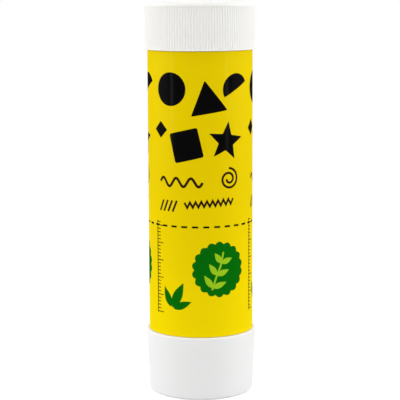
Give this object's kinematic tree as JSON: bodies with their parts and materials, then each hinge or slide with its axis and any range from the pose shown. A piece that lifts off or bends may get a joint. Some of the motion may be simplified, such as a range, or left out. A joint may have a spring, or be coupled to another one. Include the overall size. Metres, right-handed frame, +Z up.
{
  "type": "glue stick",
  "caption": "Twist-up glue stick with a ribbed screw cap, a labelled barrel and a turning base that raises the glue on a lead screw.",
  "frame": {"origin": "centre of the turning base's underside, on the surface that the stick stands on", "axes": "+Z up along the barrel to the cap, -Y to the front of the print, +X to the right of the print"},
  "size_m": [0.0318, 0.0318, 0.1127],
  "materials": {
    "white_plastic": "satin white polypropylene",
    "base_plastic": "smooth satin white polypropylene",
    "cap_plastic": "satin white polypropylene, finely ribbed",
    "liner_plastic": "soft matt polyethylene",
    "label_film": "glossy yellow printed film",
    "glue": "waxy, slightly translucent"
  },
  "bodies": {
    "barrel": {"barrel": "white_plastic", "printed_label": "label_film"},
    "turning_base": {"turning_base": "base_plastic", "spindle": "white_plastic"},
    "carrier": {"carrier": "white_plastic", "glue_stick": "glue"},
    "cap_liner": {"cap_liner": "liner_plastic"},
    "cap": {"cap": "cap_plastic"}
  },
  "joints": [
    {"name": "base_turn", "type": "hinge", "parent": "barrel", "child": "turning_base", "pos_m": [0, 0, 0.0135], "axis": [0, 0, 1], "range_deg": [0, 4320]},
    {"name": "carrier_slide", "type": "slide", "parent": "barrel", "child": "carrier", "axis": [0, 0, 1], "range_m": [0, 0.072]},
    {"name": "cap_lift", "type": "slide", "parent": "barrel", "child": "cap_liner", "axis": [0, 0, 1], "range_m": [0, 0.1]},
    {"name": "cap_turn", "type": "hinge", "parent": "cap_liner", "child": "cap", "pos_m": [0, 0, 0.106], "axis": [0, 0, 1], "range_deg": [0, 450]}
  ],
  "couplings": [
    {"joint": "base_turn", "follows": "carrier_slide", "rad_per_m": 1047.2},
    {"joint": "cap_lift", "follows": "carrier_slide", "ratio": 1.3888}
  ]
}
